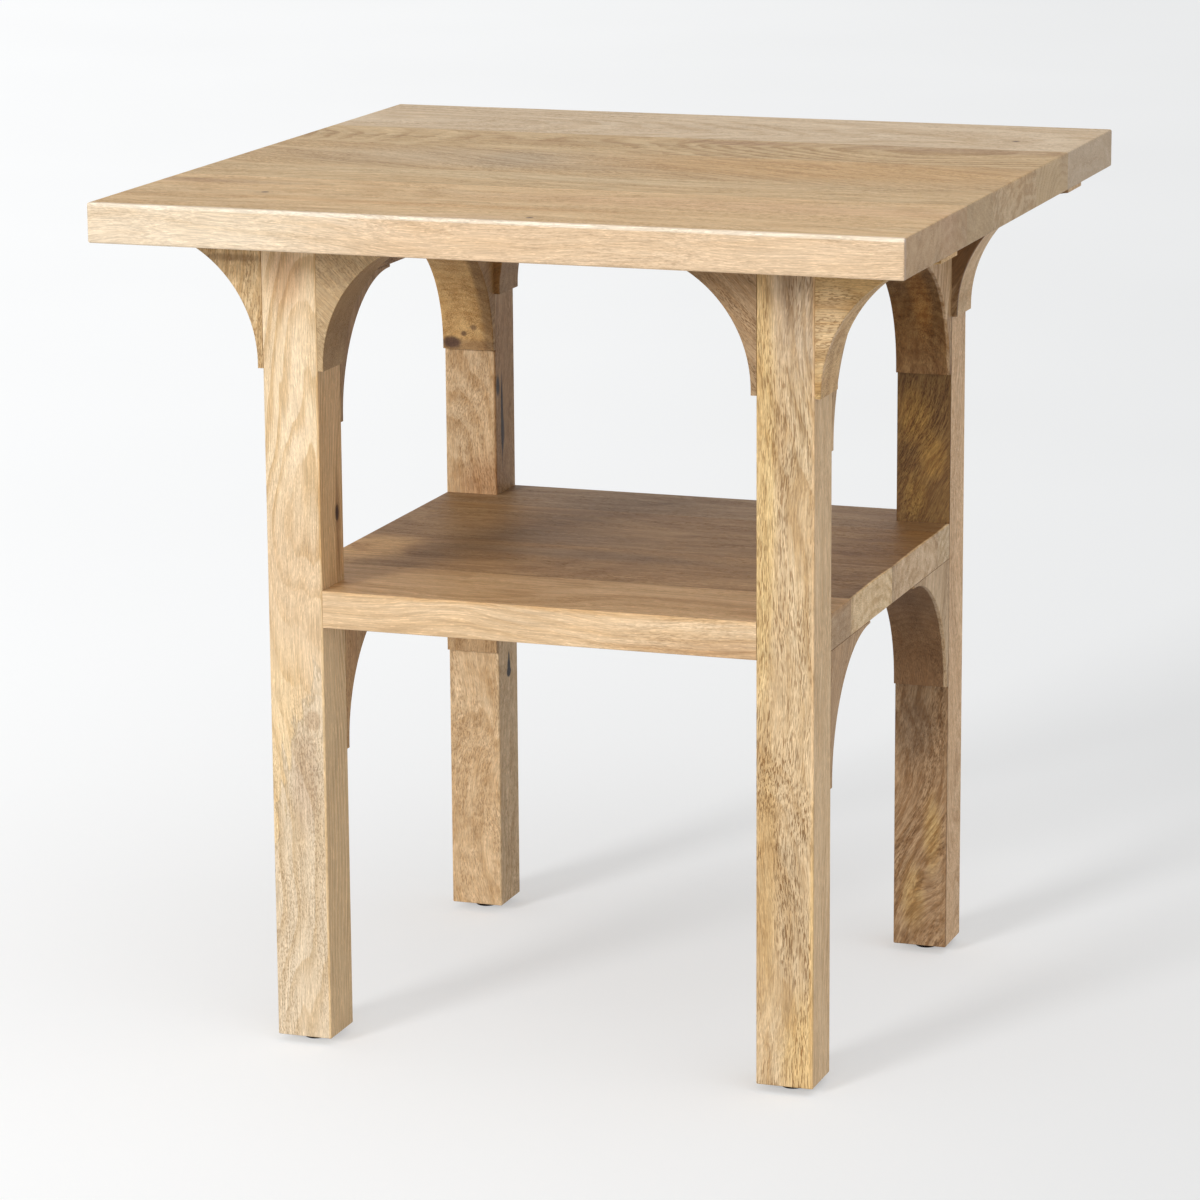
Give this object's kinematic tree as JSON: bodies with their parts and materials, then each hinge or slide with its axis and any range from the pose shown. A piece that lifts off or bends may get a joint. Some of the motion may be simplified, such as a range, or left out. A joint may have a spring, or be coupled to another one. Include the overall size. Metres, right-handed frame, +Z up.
{
  "type": "accent table",
  "caption": "Square wooden side table with an overhanging top, plain square legs, quarter-round arch brackets and a lower shelf notched round the legs.",
  "frame": {"origin": "on the floor, under the middle of the square top", "axes": "+Z up, +X to the right along the grain of the boards, -Y to the front, which is the long-grain edge of the top"},
  "size_m": [0.56, 0.56, 0.6],
  "materials": {
    "top_wood": "clear matte, sanded smooth",
    "shelf_wood": "clear matte, sanded smooth",
    "leg_wood": "clear matte, sanded smooth",
    "bracket_wood": "clear matte, sanded smooth",
    "rail_wood": "clear matte",
    "dowel_wood": "raw",
    "glide_plastic": "matte dark brown",
    "fastener_steel": "zinc plated"
  },
  "bodies": {
    "root": {"top_board_1": "top_wood", "top_board_2": "top_wood", "top_board_3": "top_wood", "top_board_4": "top_wood", "top_board_5": "top_wood", "shelf_board_1": "shelf_wood", "shelf_board_2": "shelf_wood", "shelf_board_3": "shelf_wood", "shelf_board_4": "shelf_wood", "top_rail_left": "rail_wood", "top_rail_right": "rail_wood", "leg_front_left": "leg_wood", "leg_front_right": "leg_wood", "leg_back_left": "leg_wood", "leg_back_right": "leg_wood", "outer_bracket_front_left": "bracket_wood", "outer_bracket_front_right": "bracket_wood", "outer_bracket_back_left": "bracket_wood", "outer_bracket_back_right": "bracket_wood", "inner_bracket_front_left": "bracket_wood", "inner_bracket_front_right": "bracket_wood", "inner_bracket_back_left": "bracket_wood", "inner_bracket_back_right": "bracket_wood", "rail_bracket_front_left": "bracket_wood", "rail_bracket_front_right": "bracket_wood", "rail_bracket_back_left": "bracket_wood", "rail_bracket_back_right": "bracket_wood", "shelf_bracket_front_left": "bracket_wood", "shelf_bracket_front_right": "bracket_wood", "shelf_bracket_back_left": "bracket_wood", "shelf_bracket_back_right": "bracket_wood", "floor_glide_front_left": "glide_plastic", "floor_glide_front_right": "glide_plastic", "floor_glide_back_left": "glide_plastic", "floor_glide_back_right": "glide_plastic", "joint_dowels": "dowel_wood", "top_screws": "fastener_steel", "glide_nails": "fastener_steel"}
  },
  "joints": []
}
